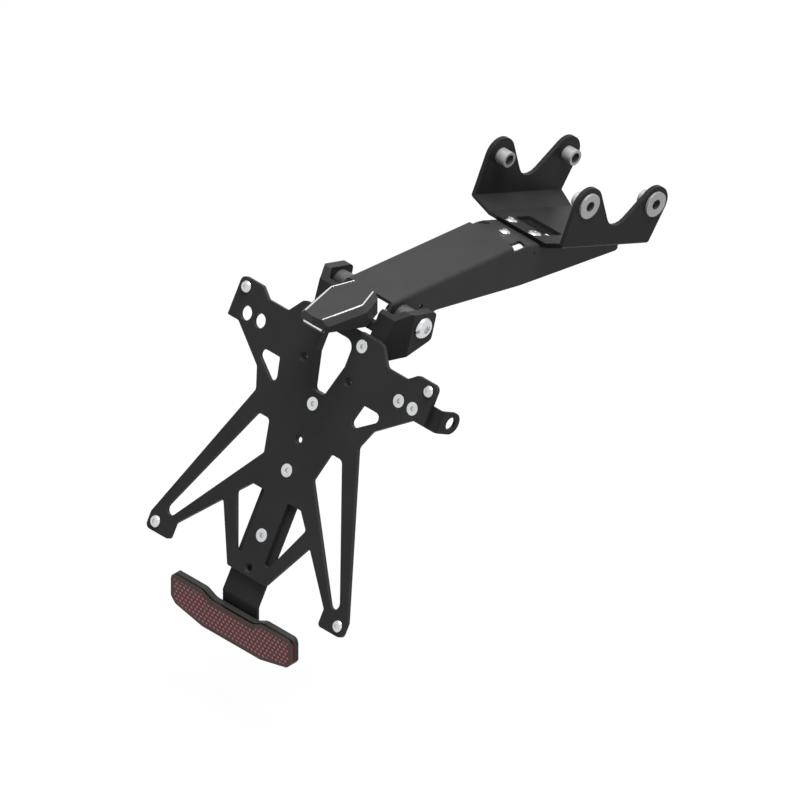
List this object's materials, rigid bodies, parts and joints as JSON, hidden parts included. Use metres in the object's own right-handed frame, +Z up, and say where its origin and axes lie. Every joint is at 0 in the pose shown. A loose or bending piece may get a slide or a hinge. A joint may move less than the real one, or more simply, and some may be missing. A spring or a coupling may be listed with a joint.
{
  "type": "tail tidy",
  "caption": "Motorbike tail tidy: folded subframe bracket and arm, and a tilting number plate holder with plate lamp, red reflector strip and indicator tab.",
  "frame": {"origin": "middle of the axis through the two rear subframe bores", "axes": "+X to the right along the bores, +Y towards the front of the bike, +Z up; the number plate faces -Y and is leaned back 30 degrees from the vertical"},
  "size_m": [0.18, 0.3439, 0.2274],
  "materials": {
    "bracket_coat": "fine black powder coat, satin",
    "arm_coat": "fine black powder coat, satin",
    "hinge_coat": "black anodised over milled faces",
    "holder_coat": "black powder coat, satin",
    "tab_coat": "black powder coat, satin",
    "bushing_metal": "turned, matt",
    "spacer_metal": "turned, dark anodised",
    "hardware": "bright zinc plate",
    "lamp_body": "black anodised, satin",
    "lamp_clear": "clear moulding",
    "trim_bright": "bright milled line",
    "reflector_back": "dark grey moulding",
    "reflector_red": "deep red prismatic moulding"
  },
  "bodies": {
    "arm_assembly": {"subframe_bracket": "bracket_coat", "bushing_rear_right": "bushing_metal", "bushing_rear_left": "bushing_metal", "bushing_front_right": "bushing_metal", "bushing_front_left": "bushing_metal", "arm": "arm_coat", "bracket_screws": "hardware", "bracket_nuts": "hardware", "arm_screw": "hardware", "arm_nut": "hardware", "pivot_bolt_right": "hardware", "pivot_bolt_left": "hardware", "spacer_right": "spacer_metal", "spacer_left": "spacer_metal", "pivot_nuts": "hardware"},
    "holder_assembly": {"hinge_bracket": "hinge_coat", "plate_holder": "holder_coat", "hinge_screws": "hardware", "reflector_strip": "holder_coat", "strip_screws": "hardware", "strip_nuts": "hardware", "indicator_tab": "tab_coat", "tab_screws": "hardware", "tab_nuts": "hardware", "corner_screws": "hardware", "corner_nuts": "hardware", "reflector_housing": "reflector_back", "reflector_lens": "reflector_red", "reflector_stud": "hardware", "reflector_nut": "hardware", "lamp_housing": "lamp_body", "lamp_lens": "lamp_clear", "lamp_trims": "trim_bright", "lamp_screws": "hardware"}
  },
  "joints": [
    {"name": "plate_tilt", "type": "hinge", "parent": "arm_assembly", "child": "holder_assembly", "pos_m": [0, -0.1456, -0.0203], "axis": [1, 0, 0], "range_deg": [-10, 20]}
  ]
}
